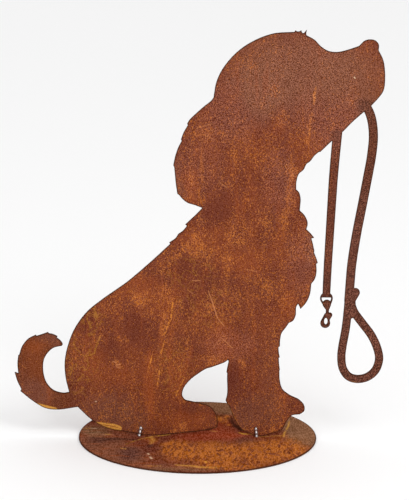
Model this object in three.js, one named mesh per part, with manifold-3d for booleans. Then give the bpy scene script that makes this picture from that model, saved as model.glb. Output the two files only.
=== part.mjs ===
// A sitting puppy cut as one flat silhouette from rusted sheet steel, with its own lead
// hanging from its mouth. It stands upright across a round sheet steel base, held there
// by two small weld beads at its feet.
// Millimetres, +Z up. The origin is the centre of the base's underside. The puppy faces
// +X, and its front side faces -Y.

import * as THREE from 'three';
import { mergeVertices } from 'three/addons/utils/BufferGeometryUtils.js';
import Module from 'manifold-3d';

const wasm = await Module();
wasm.setup();

// Sheet and base
const FIGURE_SHEET = 2;
const BASE_SHEET = 2;
const BASE_DIAMETER = 300;

// The puppy's height from its feet to the top of its skull, and the height at which its
// outline is drawn below: every point of the outline is a share of this height.
const PUPPY_HEIGHT = 515.5;
const DRAWN_HEIGHT = 515.5;

// The lead, as wide as a real one
const LEAD_WIDTH_AT_MOUTH = 11.7;
const LEAD_WIDTH_AT_CLIP = 9.7;
const HAND_STRAND_WIDTH = 11.3;
const HAND_LOOP_WIDTH = 10.4;
const KNOT_RADIUS = 5.8;
const LOOP_CROTCH_RADIUS = 3.3;

// The clip at the lead's end: a ring, a swivel and a hook with a thumb lever
const RING_RADIUS = 8;
const RING_WALL = 2.1;
const SWIVEL_RADIUS = 5.4;
const CLIP_NECK_RADIUS = 2;
const HOOK_RADIUS = 6.2;
const HOOK_EYE_WIDTH = 4.3;
const HOOK_EYE_HEIGHT = 8.6;
const HOOK_SHOULDER_RADIUS = 3;
const LEVER_RADIUS = 2.9;
const LEVER_FOOT_RADIUS = 1.4;

// Weld beads
const BEAD_WIDTH = 5.5;
const BEAD_HEIGHT = 12.5;
const BEAD_REACH = 6;
const BEAD_DROPLETS = 3;

// How much narrower and how much flatter the top droplet is than the lowest
const BEAD_NARROWING = 0.16;
const BEAD_FLATTENING = 0.5;

// How closely the faceted outline follows its curves, and the facets of round forms
const CURVE_ERROR = 0.07;
const STEPS_PER_SPAN = 12;
const BASE_FACETS = 128;
const EYE_FACETS = 20;
const DROPLET_FACETS = 16;

const scale = PUPPY_HEIGHT / DRAWN_HEIGHT;
const drawn = ([x, z]) => new THREE.Vector2(x * scale, z * scale);

// Outline of the puppy, clockwise from the nape, as x and height above the feet.
// Each row is one smooth stretch between two corners: a notch or the tip of a lock.

const EAR = [
  [[4, 294.7], [-4.5, 298], [-14.5, 301.2], [-20, 305.3], [-25.2, 311.3]],
  [[-25.2, 311.3], [-27, 312.2]],
  [[-27, 312.2], [-29, 325], [-31.1, 346.2]],
  [[-31.1, 346.2], [-32.3, 348.4]],
  [[-32.3, 348.4], [-29.9, 360], [-26, 371.5], [-22, 379.2]],
  [[-22, 379.2], [-22.9, 380.9]],
  [[-22.9, 380.9], [-19.8, 389.5], [-14.5, 398.8]],
  [[-14.5, 398.8], [-15.4, 400.6]],
  [[-15.4, 400.6], [-12.5, 405.5], [-4, 414], [6, 423], [14, 429.5], [16.8, 433.5]],
];

const SKULL = [
  [[16.8, 433.5], [20, 452.4], [28.2, 470.1], [44.8, 489.8], [64.5, 503.6], [89, 513.2], [115, 515.3]],
];

const CROWN_TUFT = [
  [[115, 515.3], [116.2, 517.2], [118.2, 516], [120.9, 516], [123.3, 517.6]],
  [[123.3, 517.6], [124.6, 514.3], [126.4, 514], [128, 515.8], [130.3, 518.2]],
  [[130.3, 518.2], [129.4, 514.5], [129.7, 511.3]],
];

const FOREHEAD_AND_NOSE = [
  [[129.7, 511.3], [139.5, 506], [148.1, 497.4], [157, 492.2], [168, 491], [182, 494.3], [194, 498.5]],
  [[194, 498.5], [201, 505.2], [207.3, 506.8], [214, 505.5], [218.3, 500.5], [218.2, 493.4]],
];

const MUZZLE = [
  [[218.2, 493.4], [224.3, 481.2], [227, 460], [225.3, 443.7], [219, 434], [210.7, 424.7]],
  [[210.7, 424.7], [188.4, 404.8], [176.5, 392.2], [162.9, 380.1], [149, 366.4]],
];

const THROAT = [
  [[149, 366.4], [147.5, 366.6]],
  [[147.5, 366.6], [142.2, 362], [136.5, 354.3], [132.3, 351.2], [128.9, 344.1], [123, 338.6],
    [120.2, 328.5], [120.1, 318.9]],
];

const CHEST = [
  [[120.1, 318.9], [123.6, 315.3], [125.7, 308], [124.9, 292.4]],
  [[124.9, 292.4], [131.5, 285.5], [135, 276], [133.4, 268.6]],
  [[133.4, 268.6], [139, 263.2], [143.3, 257.8]],
  [[143.3, 257.8], [139.9, 257.1]],
  [[139.9, 257.1], [142, 249.5], [143.9, 241.3]],
  [[143.9, 241.3], [143.5, 239]],
  [[143.5, 239], [146.4, 232], [148.4, 225.7]],
  [[148.4, 225.7], [146.5, 224.7]],
  [[146.5, 224.7], [147, 214], [145, 205], [140.8, 199]],
  [[140.8, 199], [139.2, 185.2], [134.5, 174.3], [127.7, 166.4]],
  [[127.7, 166.4], [125.9, 170.5], [124.6, 172.9]],
  [[124.6, 172.9], [122.4, 169], [121.8, 158], [118.5, 151], [113.5, 148.2]],
];

const FORELEG_FRONT = [
  [[113.5, 148.2], [109.7, 142.3], [104.6, 135], [102.9, 127], [102.6, 118]],
  [[102.6, 118], [100.9, 116.6]],
  [[100.9, 116.6], [101.4, 109.5], [102.6, 103.6]],
  [[102.6, 103.6], [101.4, 102.4]],
  [[101.4, 102.4], [101.9, 95], [103, 87.3]],
  [[103, 87.3], [102.4, 86]],
  [[102.4, 86], [103, 74.5], [106.3, 62.5], [115, 54.8], [127.5, 48.5], [134.2, 41],
    [134.5, 33.5], [129, 29]],
];

const FOREPAW_UNDERSIDE = [
  [[129, 29], [119.2, 27.5], [113, 20.5], [107.4, 9.5], [101.5, 6], [90, 2.2], [82, 0]],
  [[82, 0], [72, 0]],
  [[72, 0], [64, 4.3], [56, 8.3], [49.2, 17], [43.6, 29], [40.2, 37.8], [35.9, 44.6]],
];

const FORELEG_BACK = [
  [[35.9, 44.6], [35.1, 46.9]],
  [[35.1, 46.9], [36.7, 53], [37.2, 61], [36.6, 75], [36.8, 82.3]],
  [[36.8, 82.3], [35.9, 83.9]],
  [[35.9, 83.9], [37, 91], [38.3, 97.5], [37.6, 99.7]],
];

const BELLY = [
  [[37.6, 99.7], [33.5, 96.5], [25, 93], [16, 89.6]],
  [[16, 89.6], [10.5, 88], [0, 81.2], [-10, 73], [-17.5, 63], [-19.7, 53.6], [-16.5, 47.6],
    [-7, 44.9]],
];

const HIND_FOOT = [
  [[-7, 44.9], [5, 42.5], [15, 38.8], [22.5, 30.5], [25.5, 20], [24, 11], [18, 9.8]],
  [[18, 9.8], [8.5, 7], [-12, 4.5], [-32, 1.9], [-50, 0]],
];

const HAUNCH = [
  [[-50, 0], [-68, 0]],
  [[-68, 0], [-81.6, 3], [-95, 5.2], [-108.2, 7.3], [-121.3, 12.1], [-135, 20.8], [-151.5, 36.7]],
];

const TAIL = [
  [[-151.5, 36.7], [-176.9, 32.9], [-192.6, 34.9], [-208.4, 44.3], [-223.8, 57]],
  [[-223.8, 57], [-222.3, 59.2]],
  [[-222.3, 59.2], [-227.4, 70], [-230.7, 81.7]],
  [[-230.7, 81.7], [-228.4, 81.1], [-226.1, 80.2]],
  [[-226.1, 80.2], [-227.1, 93], [-226, 103.3]],
  [[-226, 103.3], [-224.8, 104.3]],
  [[-224.8, 104.3], [-221.1, 115.4], [-213.5, 125], [-203.7, 130.5]],
  [[-203.7, 130.5], [-202.7, 129]],
  [[-202.7, 129], [-195.8, 131.3], [-188.5, 134]],
  [[-188.5, 134], [-187.3, 132.5]],
  [[-187.3, 132.5], [-182.4, 131.6], [-176.5, 128.8]],
  [[-176.5, 128.8], [-177.4, 127]],
  [[-177.4, 127], [-173, 123.5], [-170, 118.5], [-171, 116.5]],
  [[-171, 116.5], [-182.4, 113.2], [-192.2, 102], [-194.9, 88], [-191.5, 70], [-182.4, 58.9],
    [-170, 55], [-162.2, 56]],
];

const RUMP_AND_BACK = [
  [[-162.2, 56], [-166.5, 74.5], [-167.7, 95], [-164.3, 114.4], [-155.5, 138], [-140, 160.2],
    [-119.9, 177.3], [-89.7, 199.3], [-60, 225.4], [-35.6, 248.7]],
];

const NAPE = [
  [[-35.6, 248.7], [-36.9, 250.5]],
  [[-36.9, 250.5], [-29.2, 255.8], [-26.8, 259.5]],
  [[-26.8, 259.5], [-25.7, 261.4]],
  [[-25.7, 261.4], [-20, 265.5], [-14.9, 271.9]],
  [[-14.9, 271.9], [-17.1, 273.5]],
  [[-17.1, 273.5], [-4.5, 285.6], [4, 294.7]],
];

const PUPPY = [
  ...EAR, ...SKULL, ...CROWN_TUFT, ...FOREHEAD_AND_NOSE, ...MUZZLE, ...THROAT, ...CHEST,
  ...FORELEG_FRONT, ...FOREPAW_UNDERSIDE, ...FORELEG_BACK, ...BELLY, ...HIND_FOOT,
  ...HAUNCH, ...TAIL, ...RUMP_AND_BACK, ...NAPE,
];

// The lead's two strands and its hand loop, each by the line down its middle. Both
// strands start inside the muzzle.
const CLIP_STRAND = [
  [170.4, 398], [168.6, 374.3], [165.9, 336], [164.2, 298], [162.4, 258], [160.7, 218],
  [159.7, 184],
];
const HAND_STRAND = [
  [201, 428], [206.8, 420], [211.4, 408], [214.1, 388], [212.4, 362], [207.1, 329], [202.8, 303],
  [196, 263.7], [190.7, 224], [188.6, 190], [187.8, 176],
];
const HAND_LOOP = [
  [188.2, 184], [187.2, 168], [184.9, 142], [181.1, 118], [180, 105], [182, 90], [189.3, 79.3],
  [200.5, 75.8], [213, 78.5], [223, 87.3], [227.5, 102], [224.9, 116], [217, 133], [205, 149],
  [195.2, 162.5], [191.6, 172], [191.5, 184],
];
const HAND_LOOP_LOWEST = 7;
const KNOT = [195.8, 188];
const KNOT_FOOT = [190.6, 178.5];
const LOOP_CROTCH = [191.4, 157.8];

// Middles of the clip's parts
const RING = [159.9, 180.2];
const RING_OPENING_TOP = 181.4;
const SWIVEL = [160.5, 173.1];
const CLIP_NECK_TOP = [161.5, 166];
const CLIP_NECK_FOOT = [161.3, 160];
const HOOK = [159, 148.2];
const HOOK_EYE = [159.7, 150.8];
const HOOK_SHOULDER = [160.5, 158.5];
const LEVER = [164.8, 159];
const LEVER_FOOT = [163.2, 152.8];

// Where the beads sit at the feet, and how far their tops lean along the sheet
const REAR_BEAD_X = -73.4;
const REAR_BEAD_LEAN = 1.8;
const FRONT_BEAD_X = 74.6;
const FRONT_BEAD_LEAN = -0.8;

// Points of a smooth line through a few given ones
function smooth(points) {
  if (points.length < 3) {
    return points;
  }
  const line = points.map((p) => new THREE.Vector3(p.x, p.y, 0));
  const curve = new THREE.CatmullRomCurve3(line, false, 'centripetal');
  const steps = (points.length - 1) * STEPS_PER_SPAN;
  return curve.getPoints(steps).map((p) => new THREE.Vector2(p.x, p.y));
}

// Only the points that a line needs to stay within CURVE_ERROR of its curve
function thinned(points) {
  const [first, last] = [points[0], points[points.length - 1]];
  const chord = last.clone().sub(first);
  const length = chord.length() || 1;
  let worst = 0;
  let at = 0;
  for (let i = 1; i < points.length - 1; i += 1) {
    const off = points[i].clone().sub(first);
    const distance = Math.abs(off.cross(chord)) / length;
    if (distance > worst) {
      worst = distance;
      at = i;
    }
  }
  if (worst <= CURVE_ERROR) {
    return [first, last];
  }
  return [...thinned(points.slice(0, at + 1)).slice(0, -1), ...thinned(points.slice(at))];
}

// A closed outline from rows of points that follow on from each other
function outline(rows) {
  return rows.flatMap((row) => thinned(smooth(row.map(drawn))).slice(0, -1));
}

// A strap of even or tapering width along the line down its middle, or the stretch of it
// between two of the line's given points
function strap(middle, startWidth, endWidth = startWidth, from = 0, to = middle.length - 1) {
  const line = smooth(middle.map(drawn));
  const last = line.length - 1;
  const sides = [1, -1].map((side) => line.map((p, i) => {
    const along = line[Math.min(i + 1, last)].clone().sub(line[Math.max(i - 1, 0)]).normalize();
    const half = THREE.MathUtils.lerp(startWidth, endWidth, i / last) / 2;
    return new THREE.Vector2(p.x - side * half * along.y, p.y + side * half * along.x);
  }));
  const [first, end] = [from * STEPS_PER_SPAN, to * STEPS_PER_SPAN + 1];
  const [left, right] = sides.map((side) => thinned(side.slice(first, end)));
  return [...left, ...right.reverse()];
}

// Points of an arc that starts at one angle and sweeps on from it
function arc(centre, radius, start, sweep) {
  const steps = Math.ceil(sweep / (2 * Math.acos(1 - CURVE_ERROR / radius)));
  return Array.from({ length: steps + 1 }, (_, i) => {
    const angle = start + (sweep * i) / steps;
    return new THREE.Vector2(centre.x + radius * Math.cos(angle), centre.y + radius * Math.sin(angle));
  });
}

// Two circles and the straight sides that touch both
function pear(from, fromRadius, to, toRadius) {
  const [a, b] = [drawn(from), drawn(to)];
  const apart = b.clone().sub(a);
  const heading = apart.angle();
  const lean = Math.acos((fromRadius - toRadius) / apart.length());
  return [
    ...arc(a, fromRadius, heading + lean, 2 * (Math.PI - lean)),
    ...arc(b, toRadius, heading - lean, 2 * lean),
  ];
}

// The part of a circle below a level line
function circleBelow(centre, radius, level) {
  const middle = drawn(centre);
  const rise = Math.asin((drawn([0, level]).y - middle.y) / radius);
  return arc(middle, radius, Math.PI - rise, Math.PI + 2 * rise);
}

// An oval opening
function oval(centre, width, height) {
  const { x, y } = drawn(centre);
  return new THREE.EllipseCurve(x, y, width / 2, height / 2).getPoints(EYE_FACETS).slice(0, -1);
}

// A flat piece of the figure's sheet, standing in the plane y = 0 with its feet on the base
function sheet(points, thickness = FIGURE_SHEET) {
  const shape = new THREE.Shape(points);
  const geometry = new THREE.ExtrudeGeometry(shape, { depth: thickness, bevelEnabled: false });
  geometry.rotateX(Math.PI / 2);
  geometry.translate(0, thickness / 2, BASE_SHEET);
  return geometry;
}

function solid(geometry) {
  geometry.deleteAttribute('normal');
  geometry.deleteAttribute('uv');
  const merged = mergeVertices(geometry);
  return new wasm.Manifold(new wasm.Mesh({
    numProp: 3,
    vertProperties: new Float32Array(merged.attributes.position.array),
    triVerts: new Uint32Array(merged.index.array),
  }));
}

function geometryOf(manifold) {
  const mesh = manifold.getMesh();
  const geometry = new THREE.BufferGeometry();
  geometry.setAttribute('position', new THREE.BufferAttribute(mesh.vertProperties, 3));
  geometry.setIndex(new THREE.BufferAttribute(mesh.triVerts, 1));
  geometry.computeVertexNormals();
  return geometry;
}

// The whole silhouette: puppy, both strands, hand loop and clip are one sheet
function puppyWithLead() {
  const pieces = [
    outline(PUPPY),
    strap(CLIP_STRAND, LEAD_WIDTH_AT_MOUTH, LEAD_WIDTH_AT_CLIP),
    strap(HAND_STRAND, HAND_STRAND_WIDTH),
    strap(HAND_LOOP, HAND_LOOP_WIDTH, HAND_LOOP_WIDTH, 0, HAND_LOOP_LOWEST),
    strap(HAND_LOOP, HAND_LOOP_WIDTH, HAND_LOOP_WIDTH, HAND_LOOP_LOWEST),
    pear(KNOT, KNOT_RADIUS, KNOT_FOOT, KNOT_RADIUS),
    pear(LOOP_CROTCH, LOOP_CROTCH_RADIUS, KNOT_FOOT, KNOT_RADIUS),
  ];
  const cutter = FIGURE_SHEET * 2;
  const ring = solid(sheet(pear(RING, RING_RADIUS, CLIP_NECK_TOP, CLIP_NECK_RADIUS)))
    .subtract(solid(sheet(circleBelow(RING, RING_RADIUS - RING_WALL, RING_OPENING_TOP), cutter)));
  const hook = solid(sheet(pear(HOOK, HOOK_RADIUS, HOOK_SHOULDER, HOOK_SHOULDER_RADIUS)))
    .subtract(solid(sheet(oval(HOOK_EYE, HOOK_EYE_WIDTH, HOOK_EYE_HEIGHT), cutter)));
  const clip = [
    pear(SWIVEL, SWIVEL_RADIUS, CLIP_NECK_TOP, CLIP_NECK_RADIUS),
    pear(CLIP_NECK_TOP, CLIP_NECK_RADIUS, CLIP_NECK_FOOT, CLIP_NECK_RADIUS),
    pear(LEVER, LEVER_RADIUS, CLIP_NECK_FOOT, CLIP_NECK_RADIUS),
    pear(LEVER, LEVER_RADIUS, LEVER_FOOT, LEVER_FOOT_RADIUS),
  ];
  const figure = [...pieces, ...clip].map((points) => solid(sheet(points)));
  return figure.reduce((whole, piece) => whole.add(piece), ring.add(hook));
}

// A weld bead: droplets on top of each other, the lowest the fullest, run into the corner
// between the figure and the base
function weldBead(x, lean) {
  const front = -FIGURE_SHEET / 2;
  const rise = BEAD_HEIGHT / BEAD_DROPLETS;
  const droplets = Array.from({ length: BEAD_DROPLETS }, (_, i) => {
    const up = i / (BEAD_DROPLETS - 1);
    const width = BEAD_WIDTH * (1 - BEAD_NARROWING * up);
    const reach = BEAD_REACH * (1 - BEAD_FLATTENING * up);
    const droplet = new THREE.SphereGeometry(1, DROPLET_FACETS, DROPLET_FACETS * 0.75);
    droplet.rotateX(Math.PI / 2);
    droplet.scale(width / 2, reach, rise);
    droplet.translate(x + lean * up, front, BASE_SHEET + rise * i);
    return solid(droplet);
  });
  const size = 4 * BEAD_HEIGHT;
  const room = new THREE.BoxGeometry(size, size, size);
  room.translate(x, front - size / 2, BASE_SHEET + size / 2);
  return droplets.reduce((bead, droplet) => bead.add(droplet)).intersect(solid(room));
}

function baseDisc() {
  const radius = BASE_DIAMETER / 2;
  const disc = new THREE.CylinderGeometry(radius, radius, BASE_SHEET, BASE_FACETS);
  disc.rotateX(Math.PI / 2);
  disc.translate(0, 0, BASE_SHEET / 2);
  return disc;
}

const rustOnFigure = new THREE.MeshStandardMaterial({ color: 0x7b4326, roughness: 0.9, metalness: 0.1 });
const rustOnBase = new THREE.MeshStandardMaterial({ color: 0x74492f, roughness: 0.9, metalness: 0.1 });
const bareSteel = new THREE.MeshStandardMaterial({ color: 0x8d8a86, roughness: 0.4, metalness: 0.9 });

function named(name, geometry, material) {
  const mesh = new THREE.Mesh(geometry, material.clone());
  mesh.name = name;
  return mesh;
}

const rearBead = geometryOf(weldBead(REAR_BEAD_X * scale, REAR_BEAD_LEAN));
const frontBead = geometryOf(weldBead(FRONT_BEAD_X * scale, FRONT_BEAD_LEAN));

const sculpture = new THREE.Group();
sculpture.add(named('base_plate', baseDisc(), rustOnBase));
sculpture.add(named('dog_figure', geometryOf(puppyWithLead()), rustOnFigure));
sculpture.add(named('weld_bead_rear', rearBead, bareSteel));
sculpture.add(named('weld_bead_front', frontBead, bareSteel));

export default sculpture;
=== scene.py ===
"""A sitting puppy cut from one sheet of rusted steel, its own lead hanging from its mouth,
welded upright across a round steel base. Metres, +Z up. The puppy faces +X, and its front
side faces -Y. Marks on the rust are placed in millimetres."""
import math

import bpy
import numpy as np
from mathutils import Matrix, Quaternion, Vector, noise
from mathutils.kdtree import KDTree


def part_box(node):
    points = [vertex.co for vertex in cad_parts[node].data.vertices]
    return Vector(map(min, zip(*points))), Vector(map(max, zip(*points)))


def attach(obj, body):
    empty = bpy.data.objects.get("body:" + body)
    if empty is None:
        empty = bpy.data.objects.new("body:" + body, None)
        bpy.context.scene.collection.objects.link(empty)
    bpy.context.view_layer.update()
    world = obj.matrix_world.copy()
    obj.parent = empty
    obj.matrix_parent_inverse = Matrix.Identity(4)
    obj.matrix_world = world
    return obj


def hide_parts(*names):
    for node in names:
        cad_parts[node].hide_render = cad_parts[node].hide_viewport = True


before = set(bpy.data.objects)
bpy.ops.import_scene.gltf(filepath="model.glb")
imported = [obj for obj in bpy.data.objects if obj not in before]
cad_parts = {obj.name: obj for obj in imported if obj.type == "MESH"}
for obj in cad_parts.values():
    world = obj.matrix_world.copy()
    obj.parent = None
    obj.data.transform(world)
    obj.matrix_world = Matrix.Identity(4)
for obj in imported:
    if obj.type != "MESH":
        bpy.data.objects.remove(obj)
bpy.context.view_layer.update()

MM = 0.001

# Camera, as the photograph was taken: a long lens, looking down a little from above the
# figure. Its lens and sensor are in millimetres.
CAMERA_PLACE = (7.1 * MM, -3150.2 * MM, 982.1 * MM)
CAMERA_PITCH = math.radians(90 - 13.202)
CAMERA_ROLL = math.radians(0.419)
CAMERA_LENS = 187.2
CAMERA_SENSOR = 36.0

# Which coordinates lie in the face of each sheet
FIGURE_FACE = (1, 0, 1)
BASE_FACE = (1, 1, 0)

# CAD corners closer than this are one, and faces that turn less than this are one flat face
JOINED_CORNERS = 0.02 * MM
FLAT_WITHIN = math.radians(0.2)

# Edges that turn more than the first are cut edges, and those below the second look smooth
SHARP_FROM = math.radians(60)
SMOOTH_UP_TO = math.radians(35)

# How round both sheets' cut edges are worn, how closely their faces are scored for relief,
# and how far from the cut edge a face still knows its distance to it
EDGE_ROUNDING = 0.22 * MM
RELIEF_GRID = 2 * MM
EDGE_REACH = 15 * MM

# Rust scale: how deep it sinks and how wide its hollows are, and the plain border it leaves
COARSE_SCALE = (0.25 * MM, 9 * MM)
FINE_SCALE = (0.12 * MM, 3.5 * MM)
SCALE_BORDER = 2 * MM

# How finely the skin of a weld is drawn before it is smoothed
WELD_SKIN = 0.3 * MM

# Studio: the floor's width and the light that comes from all around
FLOOR_SIZE = 40
SURROUNDING_LIGHT = 0.95

# How much of a soft patch's radius its border takes
PATCH_BORDER = 0.75

# Places of a shader node's sockets that share their names with others
VALUE, FROM_LOW, FROM_HIGH, TO_LOW, TO_HIGH = range(5)
MIX_SHARE, MIX_FIRST, MIX_SECOND = 0, 6, 7
MIX_RESULT = 2


def deselect():
    bpy.ops.object.select_all(action="DESELECT")


def take(piece):
    """Only this piece selected and active."""
    deselect()
    piece.select_set(True)
    bpy.context.view_layer.objects.active = piece


def merged_copy(node, name):
    """A copy of a CAD node with its loose triangles joined and its flat faces made whole."""
    piece = bpy.data.objects.new(name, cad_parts[node].data.copy())
    bpy.context.collection.objects.link(piece)
    piece.data.materials.clear()
    take(piece)
    bpy.ops.object.mode_set(mode="EDIT")
    bpy.ops.mesh.select_all(action="SELECT")
    bpy.ops.mesh.remove_doubles(threshold=JOINED_CORNERS)
    bpy.ops.mesh.dissolve_limited(angle_limit=FLAT_WITHIN)
    bpy.ops.object.mode_set(mode="OBJECT")
    return piece


def finish_modifier(piece, kind, name, **settings):
    """Adds a modifier, sets it and applies it."""
    modifier = piece.modifiers.new(name, kind)
    for key, value in settings.items():
        setattr(modifier, key, value)
    take(piece)
    bpy.ops.object.modifier_apply(modifier=name)


def score_grid(piece, axis, low, high):
    """Cuts level lines across a piece, so that its flat faces can take relief."""
    normal = Vector((0, 0, 0))
    normal[axis] = 1
    take(piece)
    bpy.ops.object.mode_set(mode="EDIT")
    for i in range(1, math.ceil((high - low) / RELIEF_GRID)):
        place = normal * (low + i * RELIEF_GRID)
        bpy.ops.mesh.select_all(action="SELECT")
        bpy.ops.mesh.bisect(plane_co=place, plane_no=normal)
    bpy.ops.object.mode_set(mode="OBJECT")


def distance_from_cut_edge(piece, flat_axis):
    """Stores how far each vertex lies from the sheet's cut edge, in metres up to a reach."""
    mesh = piece.data
    normals = {}
    for face in mesh.polygons:
        flat = abs(face.normal[flat_axis]) > 0.99
        for corner in face.vertices:
            normals.setdefault(corner, set()).add(flat)
    rim = [i for i, kinds in normals.items() if False in kinds]
    tree = KDTree(len(rim))
    for i in rim:
        place = mesh.vertices[i].co.copy()
        place[flat_axis] = 0
        tree.insert(place, i)
    tree.balance()
    layer = mesh.attributes.new("from_edge", "FLOAT", "POINT")
    for vertex in mesh.vertices:
        place = vertex.co.copy()
        place[flat_axis] = 0
        layer.data[vertex.index].value = min(tree.find(place)[2], EDGE_REACH)


def rust_relief(piece, depth, size):
    """Sinks the flat faces by a rust scale's uneven depth, and leaves the cut edge as it is."""
    layer = piece.data.attributes["from_edge"]
    group = piece.vertex_groups.new(name="scale")
    for vertex in piece.data.vertices:
        inland = min(layer.data[vertex.index].value / SCALE_BORDER, 1)
        group.add([vertex.index], inland, "REPLACE")
    texture = bpy.data.textures.new("rust_scale", "CLOUDS")
    texture.noise_scale = size
    texture.noise_depth = 2
    finish_modifier(
        piece, "DISPLACE", "Scale", texture=texture, vertex_group="scale",
        texture_coords="LOCAL", direction="NORMAL", mid_level=1.0, strength=depth,
    )
    piece.vertex_groups.remove(piece.vertex_groups["scale"])


def shaken_places(piece, axes):
    """Each vertex's two coordinates on the sheet, in millimetres, shaken a little so that no
    mark has a drawn outline."""
    places = []
    for vertex in piece.data.vertices:
        shift = noise.noise_vector(vertex.co * SHAKE_PITCH) * SHAKE
        places.append([vertex.co[axis] / MM + shift[axis] for axis in axes])
    return np.array(places)


def patches(places, rows):
    """Soft round patches, each by its middle, half width, half height and strength."""
    total = np.zeros(len(places))
    for x, other, half_width, half_height, strength in rows:
        off = (places - (x, other)) / (half_width, half_height)
        near = np.clip((1 - np.hypot(*off.T)) / PATCH_BORDER, 0, 1)
        total += strength * near * near * (3 - 2 * near)
    return total


def runs(places, rows, softness):
    """Tapering runs with soft sides, each by its strength and its points with half widths."""
    total = np.zeros(len(places))
    for strength, points in rows:
        for first, last in zip(points, points[1:]):
            start, line = np.array(first[:2]), np.subtract(last[:2], first[:2])
            share = np.clip((places - start) @ line / (line @ line), 0, 1)
            off = np.hypot(*(places - start - share[:, None] * line).T)
            width = first[2] + share * (last[2] - first[2])
            near = np.clip((width + softness - off) / (2 * softness), 0, 1)
            total = np.maximum(total, strength * near * near * (3 - 2 * near))
    return total


def paint(piece, axes, tones):
    """Lays tones on a piece as attributes: name, function, its rows and what else it takes."""
    places = shaken_places(piece, axes)
    for name, (lay, *given) in tones.items():
        layer = piece.data.attributes.new(name, "FLOAT", "POINT")
        layer.data.foreach_set("value", lay(places, *given).astype(np.float32))


# Tones and shader nodes


def linear(value):
    """One channel of a tone, 0 to 255, as a share of linear light."""
    share = value / 255
    return share / 12.92 if share <= 0.04045 else ((share + 0.055) / 1.055) ** 2.4


def tone(red, green, blue):
    """A tone as the eye sees it, 0 to 255, as the shader takes it."""
    return (linear(red), linear(green), linear(blue), 1.0)


class Finish:
    """A material and short ways to add its nodes. A value is a number or a node's output."""

    def __init__(self, name):
        self.material = bpy.data.materials.new(name)
        self.material.use_nodes = True
        self.tree = self.material.node_tree
        self.tree.nodes.clear()
        self.place = self.node("ShaderNodeTexCoord").outputs["Object"]

    def node(self, kind, inputs=(), **settings):
        """A new node of a kind, with its settings made and its inputs fed."""
        made = self.tree.nodes.new(kind)
        for key, value in settings.items():
            setattr(made, key, value)
        for key, value in dict(inputs).items():
            self.feed(made.inputs[key], value)
        return made

    def feed(self, socket, value):
        if isinstance(value, bpy.types.NodeSocket):
            self.tree.links.new(value, socket)
        else:
            socket.default_value = value

    def work_out(self, operation, first, second=0.0, third=0.0):
        inputs = {0: first, 1: second, 2: third}
        return self.node("ShaderNodeMath", inputs, operation=operation).outputs[0]

    def times(self, first, second):
        return self.work_out("MULTIPLY", first, second)

    def times_plus(self, first, second, third):
        return self.work_out("MULTIPLY_ADD", first, second, third)

    def larger(self, first, second):
        return self.work_out("MAXIMUM", first, second)

    def stretched(self, scale):
        """Places for a pattern, which is drawn out along an axis where the scale is small."""
        inputs = {"Vector": self.place, "Scale": scale}
        return self.node("ShaderNodeMapping", inputs).outputs[0]

    def noise(self, scale, place=None, detail=3.0, roughness=0.5, distortion=0.0):
        """An uneven pattern from 0 to 1, finer where its scale is larger."""
        inputs = {
            "Vector": place or self.place, "Scale": scale, "Detail": detail,
            "Roughness": roughness, "Distortion": distortion,
        }
        return self.node("ShaderNodeTexNoise", inputs).outputs["Fac"]

    def between(self, value, low, high, to_low=0.0, to_high=1.0):
        """One value up to low, another from high on, and smooth between."""
        inputs = {VALUE: value, FROM_LOW: low, FROM_HIGH: high, TO_LOW: to_low, TO_HIGH: to_high}
        made = self.node("ShaderNodeMapRange", inputs, interpolation_type="SMOOTHSTEP")
        return made.outputs[0]

    def mix(self, share, first, second, blend="MIX"):
        """The first colour with a share of the second laid over it."""
        made = self.node("ShaderNodeMix", data_type="RGBA", blend_type=blend)
        self.feed(made.inputs[MIX_SHARE], share)
        self.feed(made.inputs[MIX_FIRST], first)
        self.feed(made.inputs[MIX_SECOND], second)
        return made.outputs[MIX_RESULT]

    def painted(self, name, most=0.85):
        """How strongly a tone lies here, as it was laid on the mesh."""
        laid = self.node("ShaderNodeAttribute", attribute_name=name).outputs["Fac"]
        return self.work_out("MINIMUM", laid, most)

    def strokes(self, rows, face, softness):
        """Crisp lines, each by its strength and its points with their half widths."""
        flat = {0: self.place, 1: face}
        place = self.node("ShaderNodeVectorMath", flat, operation="MULTIPLY").outputs[0]
        total = 0.0
        for strength, points in rows:
            for first, last in zip(points, points[1:]):
                made = self.node("ShaderNodeGroup", node_tree=stroke_group())
                self.feed(made.inputs["Place"], place)
                self.feed(made.inputs["Start"], on_face(first, face))
                self.feed(made.inputs["End"], on_face(last, face))
                self.feed(made.inputs["Start width"], first[2] * MM)
                self.feed(made.inputs["End width"], last[2] * MM)
                self.feed(made.inputs["Softness"], softness * MM)
                total = self.larger(self.times(made.outputs[0], strength), total)
        return total

    def surface(self, colour, roughness, normal=None, **constants):
        """The material, once its colour, roughness and what else it takes are given."""
        shader = self.node("ShaderNodeBsdfPrincipled")
        self.feed(shader.inputs["Base Color"], colour)
        self.feed(shader.inputs["Roughness"], roughness)
        if normal is not None:
            self.feed(shader.inputs["Normal"], normal)
        for key, value in constants.items():
            shader.inputs[key.replace("_", " ")].default_value = value
        output = self.node("ShaderNodeOutputMaterial")
        self.tree.links.new(shader.outputs[0], output.inputs[0])
        return self.material

    def bump(self, height, strength, distance):
        inputs = {"Height": height, "Strength": strength, "Distance": distance}
        return self.node("ShaderNodeBump", inputs).outputs[0]


def on_face(point, face):
    """A point on a sheet's face, in metres: x and height on the figure, x and y on the base."""
    x, other = point[0] * MM, point[1] * MM
    return (x, 0.0, other) if face == FIGURE_FACE else (x, other, 0.0)


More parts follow.
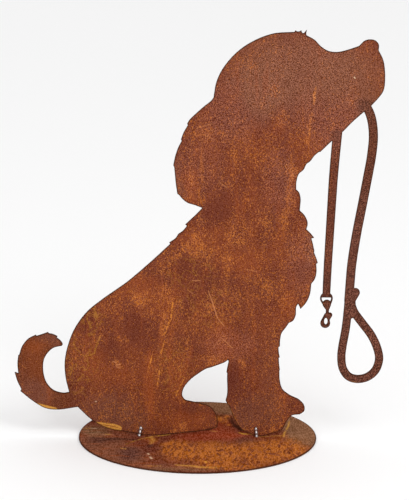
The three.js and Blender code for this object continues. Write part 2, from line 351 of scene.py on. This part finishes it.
def stroke_group():
    """How much of a tapering line with round ends covers a place."""
    if "stroke" in bpy.data.node_groups:
        return bpy.data.node_groups["stroke"]
    group = bpy.data.node_groups.new("stroke", "ShaderNodeTree")
    for name in ("Place", "Start", "End"):
        group.interface.new_socket(name, in_out="INPUT", socket_type="NodeSocketVector")
    for name in ("Start width", "End width", "Softness"):
        group.interface.new_socket(name, in_out="INPUT", socket_type="NodeSocketFloat")
    group.interface.new_socket("Cover", in_out="OUTPUT", socket_type="NodeSocketFloat")
    given = group.nodes.new("NodeGroupInput").outputs
    result = group.nodes.new("NodeGroupOutput")

    def step(kind, operation, *values):
        """A node of the group, fed with numbers or with other nodes' outputs."""
        made = group.nodes.new(kind)
        made.operation = operation
        for i, value in enumerate(values):
            if isinstance(value, bpy.types.NodeSocket):
                group.links.new(value, made.inputs[i])
            else:
                made.inputs[i].default_value = value
        return made

    vector, number = "ShaderNodeVectorMath", "ShaderNodeMath"
    reach = step(vector, "SUBTRACT", given["Place"], given["Start"]).outputs[0]
    line = step(vector, "SUBTRACT", given["End"], given["Start"]).outputs[0]
    along = step(vector, "DOT_PRODUCT", reach, line).outputs["Value"]
    whole = step(vector, "DOT_PRODUCT", line, line).outputs["Value"]
    share = step(number, "DIVIDE", along, whole)
    share.use_clamp = True
    nearest = step(vector, "SCALE", line)
    group.links.new(share.outputs[0], nearest.inputs["Scale"])
    off = step(vector, "DISTANCE", reach, nearest.outputs[0]).outputs["Value"]
    spread = step(number, "SUBTRACT", given["End width"], given["Start width"]).outputs[0]
    width = step(number, "MULTIPLY_ADD", spread, share.outputs[0], given["Start width"]).outputs[0]
    outside = step(number, "SUBTRACT", off, width).outputs[0]
    scaled = step(number, "DIVIDE", outside, given["Softness"]).outputs[0]
    fade = group.nodes.new("ShaderNodeMapRange")
    fade.interpolation_type = "SMOOTHSTEP"
    group.links.new(scaled, fade.inputs[VALUE])
    fade.inputs[FROM_LOW].default_value = -1
    fade.inputs[FROM_HIGH].default_value = 1
    fade.inputs[TO_LOW].default_value = 1
    fade.inputs[TO_HIGH].default_value = 0
    group.links.new(fade.outputs[0], result.inputs[0])
    return group


# Tones of the rust, the welds and the floor
RED_BROWN = tone(99, 39, 18)
ORANGE_BROWN = tone(118, 52, 20)
MAROON = tone(92, 38, 23)
TAIL_BROWN = tone(92, 44, 17)
LEAD_BROWN = tone(71, 30, 4)
PURPLE_BROWN = tone(110, 62, 44)
GREY_BROWN = tone(120, 76, 50)
ORANGE = tone(156, 74, 20)
OCHRE = tone(198, 114, 34)
GOLD = tone(222, 140, 48)
OLIVE = tone(168, 112, 30)
BRIGHT_OCHRE = tone(226, 164, 66)
SEAM_BROWN = tone(160, 92, 34)
SCRATCH = tone(206, 136, 88)
PALE = tone(216, 180, 146)
# The darkest tone: pits on the lead, dark streaks and dirt, and the painted shadow on the base
DIRT_AND_SHADE = tone(34, 20, 15)
BASE_BROWN = tone(126, 77, 51)
BASE_PURPLE = tone(84, 48, 40)
BASE_GOLD = tone(192, 112, 32)
BASE_OLIVE = tone(130, 96, 66)
DEEP_RED = tone(138, 50, 12)
GRAIN_SHADE = tone(164, 114, 76)
GRAIN_PALE = tone(232, 160, 138)
CUT_EDGE = tone(64, 35, 22)
WELD_SILVER = tone(196, 190, 190)
WELD_OXIDE = tone(120, 96, 92)
PALE_FLOOR = (0.93, 0.93, 0.93, 1)

# How much paler the paler grains are
PALE_GRAIN_SHARE = 0.28

# How far a mark's outline wanders, in millimetres, and how often, per metre
SHAKE = 5
SHAKE_PITCH = 60

# Soft patches on the figure: x, height, half width, half height, strength
HEAD_GREY = [
    (110, 470, 110, 70, 0.75), (190, 460, 60, 60, 0.5), (80, 450, 45, 40, 0.5),
    (210, 400, 25, 60, 0.5), (75, 430, 30, 40, 0.4),
]
GRAINY = [
    (130, 460, 130, 90, 0.45), (170, 400, 50, 60, 0.4), (40, 420, 60, 60, 0.4),
    (200, 180, 60, 220, 0.5), (100, 330, 30, 60, 0.35), (130, 230, 30, 60, 0.35),
    (40, 120, 50, 30, 0.35), (0, 350, 50, 60, 0.25),
]
TAIL_SHADE = [(-205, 90, 60, 110, 1.0), (-175, 45, 40, 26, 0.5)]

PURPLE_PATCHES = [
    (-112, 36, 55, 34, 0.75), (-85, 20, 40, 22, 0.6), (-215, 55, 35, 30, 0.8),
    (-183, 132, 28, 16, 0.8), (-195, 55, 25, 20, 0.4), (80, 35, 50, 32, 0.75),
    (55, 25, 20, 30, 0.5), (140, 250, 14, 40, 0.75), (-28, 330, 9, 50, 0.6),
    (-24, 312, 14, 12, 0.5), (5, 38, 26, 10, 0.3), (90, 90, 22, 60, 0.35), (20, 20, 16, 10, 0.3),
]
MAROON_PATCHES = [
    (-82, 140, 20, 34, 0.6), (-140, 148, 22, 25, 0.5), (-52, 208, 26, 22, 0.5),
    (0, 205, 55, 22, 0.4), (14, 282, 34, 28, 0.35), (-115, 112, 24, 22, 0.4),
    (130, 215, 20, 22, 0.4), (45, 75, 14, 40, 0.6), (-15, 225, 20, 14, 0.5), (60, 35, 30, 20, 0.3),
    (-150, 70, 24, 22, 0.3), (30, 300, 30, 30, 0.4), (-10, 35, 30, 14, 0.5),
]
ORANGE_PATCHES = [
    (-75, 195, 34, 24, 0.5), (-45, 175, 30, 30, 0.3), (-60, 70, 16, 60, 0.7),
    (-30, 80, 14, 50, 0.4), (30, 125, 30, 40, 0.6), (-95, 80, 34, 24, 0.4), (10, 260, 40, 20, 0.3),
    (-10, 325, 14, 34, 0.5), (-205, 95, 20, 36, 0.3), (60, 230, 40, 30, 0.3), (-130, 95, 26, 30, 0.4),
    (115, 175, 16, 20, 0.4), (-15, 22, 44, 22, 0.6), (-205, 120, 30, 16, 0.4),
    (-190, 70, 12, 40, 0.5),
]
OCHRE_PATCHES = [
    (45, 478, 26, 22, 0.35), (62, 476, 14, 10, 0.4), (70, 428, 16, 10, 0.4),
    (103, 410, 12, 16, 0.5), (90, 444, 14, 14, 0.5), (10, 392, 16, 14, 0.35),
    (30, 390, 12, 10, 0.35), (222, 460, 7, 26, 0.4), (187, 430, 6, 8, 0.6), (-12, 335, 9, 14, 0.4),
    (112, 345, 16, 16, 0.5), (112, 318, 9, 44, 0.5), (106, 285, 6, 20, 0.4), (36, 230, 14, 14, 0.5),
    (90, 198, 12, 16, 0.45), (62, 310, 12, 12, 0.3), (32, 326, 12, 10, 0.3),
    (3, 280, 8, 13, 0.6), (-7, 260, 9, 14, 0.7), (-16, 245, 9, 11, 0.7), (-26, 237, 11, 8, 0.6),
    (3, 251, 8, 12, 0.5), (32, 127, 9, 10, 0.6), (20, 103, 26, 10, 0.6),
    (-101, 95, 8, 8, 0.7), (56, 98, 10, 8, 0.5), (96, 10, 8, 7, 0.9), (70, 9, 3, 3, 0.9),
    (-74, 182, 22, 18, 0.7), (90, 104, 6, 7, 0.4), (-20, 175, 10, 10, 0.3), (-60, 215, 40, 14, 0.4),
    (-95, 128, 16, 10, 0.6), (-38, 190, 12, 30, 0.5), (-42, 150, 9, 30, 0.7), (14, 172, 14, 14, 0.5),
    (50, 265, 30, 30, 0.4), (10, 240, 30, 12, 0.3),
    (-17, 14, 10, 9, 1.2), (-30, 7, 7, 5, 1.0), (92, 8, 4, 3, 0.6), (95, 18, 7, 5, 0.5),
    (20, 500, 40, 30, 0.2), (85, 280, 12, 14, 0.3), (76, 284, 8, 10, 0.4), (48, 256, 7, 7, 0.4),
]

# Fine wandering lines of rust within these patches
RINGED = [
    (-148, 95, 32, 56, 0.6), (-132, 152, 20, 30, 0.6), (-10, 215, 50, 26, 0.5),
    (-30, 90, 40, 50, 0.4), (10, 170, 60, 40, 0.4),
]

# Darker rust along the lead: strength, then points of x, height and half width
LEAD_RUNS = [
    (0.55, [(169, 385, 10), (165, 300, 10), (161, 215, 10)]),
    (0.85, [(161, 205, 12), (160, 140, 12)]),
    (0.65, [(204, 424, 12), (213, 392, 12), (211, 355, 12)]),
    (0.85, [(211, 355, 12), (196, 264, 12), (189, 182, 14)]),
    (0.92, [(189, 182, 14), (181, 118, 12), (189, 80, 12), (205, 76, 12)]),
    (0.92, [(205, 76, 12), (226, 100, 12), (196, 165, 12)]),
]

# Rust that has run down the figure: strength, then points of x, height and half width
OCHRE_RUNS = [
    (0.5, [(135, 402, 2.0), (134, 380, 2.6)]),
    (0.5, [(2, 372, 1.5), (4, 340, 2.4), (3, 305, 2.0)]),
    (0.45, [(114, 362, 2.0), (112, 330, 2.4), (108, 290, 2.0), (104, 262, 1.0)]),
    (0.6, [(54, 100, 1.6), (60, 95, 1.2)]),
    (0.5, [(-20, 60, 1.4), (-21, 50, 1.6), (-17, 44, 1.2)]),
]
RED_RUNS = [
    (0.7, [(-57, 44, 2.0), (-57, 30, 3.0), (-59, 14, 1.6)]),
    (0.5, [(-62, 120, 1.5), (-60, 70, 2.6), (-58, 45, 2.0)]),
    (0.45, [(-8, 118, 2.0), (-16, 92, 2.6), (-22, 70, 1.8)]),
    (0.4, [(-30, 150, 1.5), (-34, 110, 2.5), (-36, 80, 1.5)]),
]

# Crisp strokes on the figure, given the same way: bare ochre rust, the seam in it, scratches,
# beaded gold lines, olive strands of run rust and pale dots
BARE_OCHRE = [
    (0.95, [(-128, 18, 1.3), (-116, 15, 2.8), (-106, 13, 3.8), (-99, 11, 3.2)]),
    (0.75, [(-205, 43, 1.2), (-193, 38, 3.0), (-180, 35, 2.8)]),
    (0.5, [(188, 75, 1.0), (195, 73, 2.2), (201, 72, 1.8)]),
]
OCHRE_SEAM = [(0.8, [(-122, 16, 0.4), (-110, 14, 0.8), (-101, 12, 0.5)])]
SCRATCHES = [
    (0.5, [(-8, 204, 0.5), (2, 204, 0.6)]),
    (0.65, [(12, 191, 0.3), (18, 175, 0.6), (22, 162, 0.6), (24, 156, 0.4), (32, 146, 0.5)]),
    (0.3, [(-14, 192, 0.4), (-7, 187, 0.8)]),
    (0.35, [(60, 219, 0.4), (72, 216, 0.5)]),
    (0.35, [(-4, 397, 0.4), (15, 403, 0.6)]),
    (0.25, [(4, 390, 0.4), (18, 383, 0.7)]),
    (0.3, [(24, 330, 0.6), (34, 323, 0.9)]),
    (0.5, [(31, 129, 0.4), (43, 117, 0.6)]),
    (0.3, [(19, 118, 0.4), (29, 130, 0.5)]),
    (0.6, [(-107, 99, 0.5), (-103, 97, 0.6)]),
    (0.7, [(-103, 94, 0.5), (-98, 95, 0.7)]),
    (0.5, [(-103, 92, 0.4), (-99, 90, 0.6)]),
]
CHAINS = [
    (0.9, [(-57, 109, 0.8), (-63, 86, 0.9)]),
    (0.9, [(-48, 91, 0.8), (-51, 68, 0.7)]),
    (0.7, [(-42, 127, 0.7), (-47, 107, 0.8)]),
    (0.8, [(-32, 176, 1.2), (-34, 157, 1.0), (-43, 132, 0.7)]),
    (0.7, [(-17, 78, 0.8), (-26, 59, 1.0), (-28, 52, 0.7)]),
    (0.7, [(142, 450, 0.6), (141, 440, 2.2), (140, 428, 0.8)]),
    (0.5, [(138, 418, 0.6), (135, 392, 1.6)]),
    (0.6, [(42, 38, 0.5), (46, 27, 0.9), (54, 14, 0.8), (60, 10, 0.6)]),
]
OLIVE_STRANDS = [
    (0.7, [(-131, 167, 1.2), (-128, 160, 1.6), (-127, 155, 0.6)]),
    (0.8, [(-123, 131, 0.8), (-129, 115, 1.1), (-130, 109, 0.8), (-138, 106, 0.9)]),
    (0.7, [(-139, 101, 0.7), (-138, 92, 1.0), (-141, 87, 0.5)]),
    (0.7, [(-144, 82, 0.7), (-151, 73, 0.9)]),
    (0.6, [(-140, 79, 0.6), (-137, 75, 0.7), (-140, 70, 0.6)]),
    (0.6, [(-156, 121, 0.9), (-154, 116, 0.9), (-148, 110, 0.8)]),
    (0.6, [(-161, 92, 0.6), (-158, 87, 0.8), (-161, 80, 0.7)]),
]
PALE_DOTS = [
    (1.0, [(189, 462, 0.7), (190, 461, 0.7)]),
    (0.7, [(-129, 46, 0.7), (-128, 46, 0.7)]),
]

# Soft patches on the base: x, y, half width, half depth, strength
BASE_DARK = [
    (-112, -72, 62, 70, 0.9), (-122, -24, 46, 30, 0.85), (-85, -105, 40, 40, 0.7),
    (-35, -128, 60, 22, 0.5), (40, 55, 22, 50, 0.5), (-80, 40, 70, 60, 0.5),
]
BASE_RED = [
    (15, 2, 62, 34, 0.9), (34, 45, 26, 60, 0.8), (-8, -16, 40, 18, 0.5), (60, -8, 30, 22, 0.4),
]
BASE_OCHRE = [
    (-27, -52, 24, 46, 1.5), (12, -62, 64, 52, 0.9), (76, -62, 64, 60, 0.75),
    (30, -118, 56, 32, 0.8), (108, -40, 40, 56, 0.7), (0, -85, 70, 36, 0.8),
    (-57, -20, 14, 20, 0.5), (32, 72, 12, 26, 1.3), (38, 46, 8, 8, 1.0), (86, -98, 56, 34, 0.5),
    (124, -62, 34, 36, 0.6), (48, -128, 50, 18, 0.6),
]
BASE_GREY = [
    (142, 12, 44, 76, 1.3), (128, 62, 38, 56, 1.2), (-134, 22, 34, 24, 0.7), (-128, 2, 30, 20, 0.5),
    (-20, -138, 70, 14, 0.6), (90, 110, 80, 60, 0.9), (10, 130, 120, 50, 0.9),
]
BASE_BRUISED = [
    (-83, -80, 20, 44, 0.9), (-59, -44, 7, 14, 0.7), (62, -22, 22, 26, 0.7), (-118, -22, 30, 18, 0.6),
    (31, -88, 8, 12, 0.7),
]
BASE_STREAKY = [(-100, -60, 90, 110, 1.0), (0, -132, 140, 24, 0.8), (-120, 10, 50, 40, 0.8)]

# Runs and crisp strokes on the base: strength, then points of x, y and half width
BASE_RUNS = [
    (0.5, [(-60, -34, 2.2), (-56, -20, 3.0), (-57, -6, 1.6)]),
    (0.45, [(-25, -122, 1.6), (0, -127, 2.2), (24, -128, 1.6)]),
]
BASE_STRANDS = [
    (0.75, [(-62, -10, 1.0), (-52, -4, 2.2), (-44, -1, 1.8), (-35, 3, 0.8)]),
    (0.35, [(-90, -40, 0.6), (-79, -25, 1.4), (-64, -10, 1.6)]),
    (0.3, [(-146, 26, 2.0), (-138, 27, 2.0)]),
    (0.4, [(-116, 2, 1.4), (-110, 1, 1.4)]),
    (0.5, [(-94, -56, 1.6), (-90, -58, 1.8)]),
    (0.35, [(-64, -126, 1.6), (-45, -126, 1.6)]),
    (0.4, [(-26, -121, 1.6), (-1, -125, 1.6)]),
    (0.55, [(-1, -129, 1.6), (16, -130, 1.2)]),
    (0.75, [(53, 13, 1.0), (58, 8, 2.2), (70, 6, 1.6)]),
    (0.35, [(77, -5, 1.0), (99, 1, 1.4), (109, 1, 1.2)]),
    (0.55, [(118, 64, 0.6), (116, 42, 1.2), (110, 12, 1.2), (109, -4, 0.7)]),
    (0.6, [(10, -106, 1.2), (11, -111, 1.4)]),
    (0.4, [(17, 20, 1.2), (24, 17, 1.2)]),
]

# Painted shadow on the base where the sheet keeps the light off it: in the corner behind the sheet
# under the haunch and the hind foot, beside the forepaw's heel and between the hind toe and the heel;
# the last two rows are dirt in streaks by the tail
BASE_SHADE_AND_DIRT = [
    (0.85, [(-132, 58, 4), (-121, 48, 5), (-108, 30, 5), (-95, 21, 4), (-82, 12, 3), (-70, 5, 2)]),
    (0.85, [(-46, 3, 2), (-22, 13, 3), (-3, 21, 4), (9, 27, 5), (19, 36, 5)]),
    (0.8, [(44, 77, 1.5), (45, 60, 3.5), (50, 38, 4), (57, 21, 2.2)]),
    (0.7, [(39, 76, 2), (40, 72, 2)]),
    (0.7, [(26, 78, 1.5), (30, 87, 1.5), (35, 99, 1.5)]),
    (0.4, [(-136, -32, 2), (-113, -21, 4), (-98, -17, 4), (-80, -21, 2)]),
    (0.4, [(-135, -14, 2), (-109, -14, 3)]),
]
BASE_SPECKS = [
    (0.9, [(-61, -76, 1.0), (-60, -80, 1.2)]),
    (0.9, [(-58, -90, 1.0), (-56, -97, 1.4)]),
    (0.5, [(-135, 27, 1.5), (-130, 27, 1.5)]),
]


def speckled(rust, colour, scale, amount, place=None):
    """Fine rust grains over a colour, some darker and some paler."""
    grain = rust.noise(scale, place, detail=1.5, roughness=0.6)
    dark = rust.mix(1.0, colour, GRAIN_SHADE, "MULTIPLY")
    pale = rust.mix(PALE_GRAIN_SHARE, colour, GRAIN_PALE)
    grains = rust.mix(rust.between(grain, 0.38, 0.62), dark, pale)
    return rust.mix(amount, colour, grains)


def threads(rust, scale, thickness):
    """Fine wandering lines, where a soft pattern crosses its middle value."""
    pattern = rust.noise(scale, detail=2, distortion=0.8)
    off = rust.work_out("ABSOLUTE", rust.work_out("SUBTRACT", pattern, 0.5))
    return rust.between(off, thickness * 0.4, thickness, 1, 0)


def cut_edge_darkened(rust, colour, width, most):
    """The tone of the cut edge, which reaches a short way over the face."""
    edge = rust.node("ShaderNodeAttribute", attribute_name="from_edge").outputs["Fac"]
    return rust.mix(rust.between(edge, 0.0, width, most, 0), colour, CUT_EDGE)


def rusted_figure_finish():
    rust = Finish("rusted_figure")
    clouds = rust.noise(42, rust.stretched((1, 1, 0.55)), detail=4, distortion=0.4)
    curls = rust.noise(620, rust.stretched((1, 1, 0.7)), detail=2, distortion=1.0)
    bands = rust.noise(32, rust.stretched((1, 1, 0.45)), detail=3, distortion=0.6)
    streaks = rust.noise(120, rust.stretched((1, 1, 0.1)), detail=3)
    chains = rust.noise(420, rust.stretched((1, 1, 0.22)), detail=1.5, distortion=0.6)

    # The ground, with the broad tones laid on the mesh and faint streaks of rain
    colour = rust.mix(rust.between(clouds, 0.36, 0.64), RED_BROWN, ORANGE_BROWN)
    colour = rust.mix(rust.painted("tail"), colour, TAIL_BROWN)
    colour = rust.mix(rust.painted("maroon"), colour, MAROON)
    colour = rust.mix(rust.times(rust.painted("orange"), 0.8), colour, ORANGE)
    colour = rust.mix(rust.painted("purple"), colour, PURPLE_BROWN)
    colour = rust.mix(rust.painted("head"), colour, GREY_BROWN)
    colour = rust.mix(rust.painted("lead", most=1.0), colour, LEAD_BROWN)
    colour = rust.mix(rust.between(streaks, 0.55, 0.75, 0, 0.3), colour, ORANGE)
    colour = rust.mix(rust.between(streaks, 0.45, 0.28, 0, 0.25), colour, MAROON)

    # Curls and specks of brighter rust, many where it is lively and few where it is quiet
    quiet = rust.larger(rust.painted("lead", most=1.0), rust.painted("tail", most=0.6))
    quiet = rust.larger(quiet, rust.painted("maroon"))
    quiet = rust.larger(quiet, rust.painted("head", most=0.35))
    lively = rust.between(bands, 0.44, 0.60, 0, 0.32)
    lively = rust.work_out("ADD", lively, rust.times(rust.painted("ochre", most=1.0), 1.1))
    lively = rust.work_out("SUBTRACT", lively, quiet)
    ochre_curls = rust.between(rust.times_plus(lively, 0.14, curls), 0.60, 0.68, 0, 0.7)
    colour = rust.mix(ochre_curls, colour, OCHRE)
    specks = rust.noise(760, detail=1)
    gold_specks = rust.between(rust.times_plus(lively, 0.09, specks), 0.65, 0.72, 0, 0.75)
    colour = rust.mix(gold_specks, colour, GOLD)

    # Threads, runs, strands and beaded lines
    ringed = rust.times(threads(rust, 75, 0.03), rust.painted("ringed"))
    colour = rust.mix(ringed, colour, OLIVE)
    chained = rust.between(chains, 0.42, 0.56, 0.1, 1.0)
    colour = rust.mix(rust.times(rust.painted("red_run"), chained), colour, ORANGE)
    colour = rust.mix(rust.times(rust.painted("ochre_run"), chained), colour, OCHRE)
    colour = rust.mix(rust.between(chains, 0.40, 0.30, 0, 0.3), colour, MAROON)
    curled = rust.between(curls, 0.34, 0.5, 0.4)
    olive = rust.times(rust.strokes(OLIVE_STRANDS, FIGURE_FACE, softness=0.7), curled)
    colour = rust.mix(olive, colour, OLIVE)
    beads = rust.between(rust.noise(380, detail=1), 0.42, 0.54, 0.1)
    beaded = rust.times(rust.strokes(CHAINS, FIGURE_FACE, softness=0.7), beads)
    colour = rust.mix(beaded, colour, GOLD)

    # Bare ochre spots, then grains, the lead's pits, scratches and pale dots
    worn = rust.between(rust.noise(260, detail=3), 0.26, 0.38, 0.2)
    bare = rust.times(rust.strokes(BARE_OCHRE, FIGURE_FACE, softness=0.35), worn)
    colour = rust.mix(bare, colour, BRIGHT_OCHRE)
    colour = rust.mix(rust.strokes(OCHRE_SEAM, FIGURE_FACE, softness=0.5), colour, SEAM_BROWN)
    grains = rust.times_plus(lively, 0.14, 0.46)
    grains = rust.work_out("ADD", rust.painted("grainy", most=0.45), grains)
    grains = rust.times_plus(rust.painted("lead", most=1.0), 0.3, grains)
    colour = speckled(rust, colour, 860, grains)
    pits = rust.between(rust.noise(640, detail=1), 0.52, 0.42, 0, 0.6)
    colour = rust.mix(rust.times(rust.painted("lead", most=1.0), pits), colour, DIRT_AND_SHADE)
    colour = rust.mix(rust.strokes(SCRATCHES, FIGURE_FACE, softness=0.5), colour, SCRATCH)
    colour = rust.mix(rust.strokes(PALE_DOTS, FIGURE_FACE, softness=0.5), colour, PALE)

    colour = cut_edge_darkened(rust, colour, width=1.7 * MM, most=0.95)
    grain = rust.bump(rust.noise(500, detail=2), strength=0.3, distance=0.4 * MM)
    return rust.surface(colour, roughness=0.85, normal=grain, Specular_IOR_Level=0.0)


def rusted_base_finish():
    rust = Finish("rusted_base")
    clouds = rust.noise(40, rust.stretched((1, 0.5, 1)), detail=4, distortion=0.6)
    curls = rust.noise(130, rust.stretched((1, 0.3, 1)), roughness=0.65, distortion=1.8)
    streaks = rust.noise(260, rust.stretched((0.16, 0.7, 1)), detail=3, distortion=0.8)

    # The ground and the broad tones laid on the mesh
    colour = rust.mix(rust.between(clouds, 0.36, 0.64), RED_BROWN, ORANGE_BROWN)
    colour = rust.mix(rust.painted("dark"), colour, BASE_BROWN)
    colour = rust.mix(rust.painted("grey"), colour, BASE_OLIVE)
    colour = rust.mix(rust.painted("red"), colour, DEEP_RED)
    colour = rust.mix(rust.painted("bruised"), colour, BASE_PURPLE)

    # Gold and maroon mottle below the figure, and streaks near the rim
    mottle = rust.between(curls, 0.44, 0.58, 0.35, 1.0)
    colour = rust.mix(rust.times(rust.painted("ochre", most=1.0), mottle), colour, BASE_GOLD)
    dark_mottle = rust.times(rust.painted("ochre", most=1.0), rust.between(curls, 0.46, 0.36, 0, 0.7))
    colour = rust.mix(dark_mottle, colour, MAROON)
    light_streaks = rust.times(rust.painted("streaky"), rust.between(streaks, 0.54, 0.70, 0, 0.7))
    colour = rust.mix(light_streaks, colour, ORANGE)
    dark_streaks = rust.times(rust.painted("streaky"), rust.between(streaks, 0.48, 0.36))
    colour = rust.mix(rust.times(dark_streaks, 0.4), colour, DIRT_AND_SHADE)

    # Runs, grains, strands, pale specks, then painted shadow and dirt
    colour = rust.mix(rust.painted("ochre_run"), colour, BRIGHT_OCHRE)
    colour = speckled(rust, colour, 760, 0.46, rust.stretched((1, 0.3, 1)))
    patchy = rust.between(rust.noise(300, rust.stretched((1, 0.4, 1))), 0.36, 0.52, 0.2)
    strands = rust.times(rust.strokes(BASE_STRANDS, BASE_FACE, softness=1.4), patchy)
    colour = rust.mix(strands, colour, BRIGHT_OCHRE)
    colour = rust.mix(rust.strokes(BASE_SPECKS, BASE_FACE, softness=1.5), colour, PALE)
    # Painted shadow on the base behind and beside the sheet, and dirt in streaks by the tail
    colour = rust.mix(rust.painted("shade_and_dirt", most=0.95), colour, DIRT_AND_SHADE)
    colour = cut_edge_darkened(rust, colour, width=1.6 * MM, most=0.85)
    grain = rust.bump(rust.noise(450, detail=2), strength=0.3, distance=0.4 * MM)
    return rust.surface(colour, roughness=0.8, normal=grain, Specular_IOR_Level=0.0)


def bare_weld_finish():
    metal = Finish("bare_weld")
    tint = metal.noise(300, detail=2)
    colour = metal.mix(metal.between(tint, 0.4, 0.65), WELD_SILVER, WELD_OXIDE)
    return metal.surface(colour, roughness=0.28, Metallic=1.0)


# The pieces


def rusted_sheet(node, name, face, tones, finish):
    """One of the two sheets: softened cut edge, rust scale and the tones laid on it."""
    axes = [axis for axis in range(3) if face[axis]]
    piece = merged_copy(node, name)
    finish_modifier(
        piece, "BEVEL", "Cut edge", width=EDGE_ROUNDING, segments=2, limit_method="ANGLE",
        angle_limit=SHARP_FROM, use_clamp_overlap=False,
    )
    low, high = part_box(node)
    for axis in axes:
        score_grid(piece, axis, low[axis], high[axis])
    distance_from_cut_edge(piece, face.index(0))
    rust_relief(piece, *COARSE_SCALE)
    rust_relief(piece, *FINE_SCALE)
    paint(piece, axes, tones)
    take(piece)
    bpy.ops.object.shade_smooth_by_angle(angle=SMOOTH_UP_TO)
    piece.data.materials.append(finish)
    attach(piece, "root")
    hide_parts(node)


def weld(node, name, finish):
    """A bead of weld metal, as shiny as it was laid."""
    piece = merged_copy(node, name)
    finish_modifier(piece, "REMESH", "Skin", mode="VOXEL", voxel_size=WELD_SKIN)
    finish_modifier(piece, "SMOOTH", "Flow", factor=0.5, iterations=3)
    take(piece)
    bpy.ops.object.shade_smooth()
    piece.data.materials.append(finish)
    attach(piece, "root")
    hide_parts(node)


def camera():
    data = bpy.data.cameras.new("camera")
    data.lens = CAMERA_LENS
    data.sensor_width = CAMERA_SENSOR
    data.clip_end = 100
    seen_from = bpy.data.objects.new("camera", data)
    bpy.context.collection.objects.link(seen_from)
    seen_from.location = CAMERA_PLACE
    seen_from.rotation_mode = "QUATERNION"
    pitch = Quaternion((1, 0, 0), CAMERA_PITCH)
    roll = Quaternion((0, 0, 1), CAMERA_ROLL)
    seen_from.rotation_quaternion = pitch @ roll
    bpy.context.scene.camera = seen_from


def floor():
    deselect()
    bpy.ops.mesh.primitive_plane_add(size=FLOOR_SIZE)
    plane = bpy.context.object
    plane.name = "floor"
    matt = Finish("pale_floor").surface(PALE_FLOOR, roughness=0.9)
    plane.data.materials.append(matt)


def soft_light(name, place, target, size, power):
    """A square lamp that faces its target."""
    data = bpy.data.lights.new(name, "AREA")
    data.shape = "SQUARE"
    data.size = size
    data.energy = power
    lamp = bpy.data.objects.new(name, data)
    bpy.context.collection.objects.link(lamp)
    lamp.location = place
    aim = Vector(target) - Vector(place)
    lamp.rotation_mode = "QUATERNION"
    lamp.rotation_quaternion = aim.to_track_quat("-Z", "Y")


def studio():
    world = bpy.data.worlds.new("studio")
    world.use_nodes = True
    world.node_tree.nodes["Background"].inputs["Color"].default_value = (1, 1, 1, 1)
    world.node_tree.nodes["Background"].inputs["Strength"].default_value = SURROUNDING_LIGHT
    bpy.context.scene.world = world
    bpy.context.scene.view_settings.view_transform = "Standard"
    soft_light("key", place=(1.2, -2.6, 2.6), target=(0, 0, 0.2), size=1.6, power=40)
    floor()


camera()
studio()

# Each tone's way of laying, its rows and, for runs, how soft their sides are in millimetres
figure_tones = {
    "maroon": (patches, MAROON_PATCHES),
    "orange": (patches, ORANGE_PATCHES),
    "purple": (patches, PURPLE_PATCHES),
    "head": (patches, HEAD_GREY),
    "tail": (patches, TAIL_SHADE),
    "ochre": (patches, OCHRE_PATCHES),
    "ringed": (patches, RINGED),
    "grainy": (patches, GRAINY),
    "lead": (runs, LEAD_RUNS, 3),
    "red_run": (runs, RED_RUNS, 2.5),
    "ochre_run": (runs, OCHRE_RUNS, 1.8),
}
base_tones = {
    "dark": (patches, BASE_DARK),
    "grey": (patches, BASE_GREY),
    "red": (patches, BASE_RED),
    "bruised": (patches, BASE_BRUISED),
    "ochre": (patches, BASE_OCHRE),
    "streaky": (patches, BASE_STREAKY),
    "ochre_run": (runs, BASE_RUNS, 1.8),
    # painted shadow behind and beside the sheet, and dirt streaks by the tail
    "shade_and_dirt": (runs, BASE_SHADE_AND_DIRT, 3.5),
}
rusted_sheet(
    "dog_figure", "puppy_sheet", FIGURE_FACE, figure_tones, rusted_figure_finish(),
)
rusted_sheet(
    "base_plate", "base_sheet", BASE_FACE, base_tones, rusted_base_finish(),
)
bare_weld = bare_weld_finish()
weld("weld_bead_rear", "rear_weld", bare_weld)
weld("weld_bead_front", "front_weld", bare_weld)
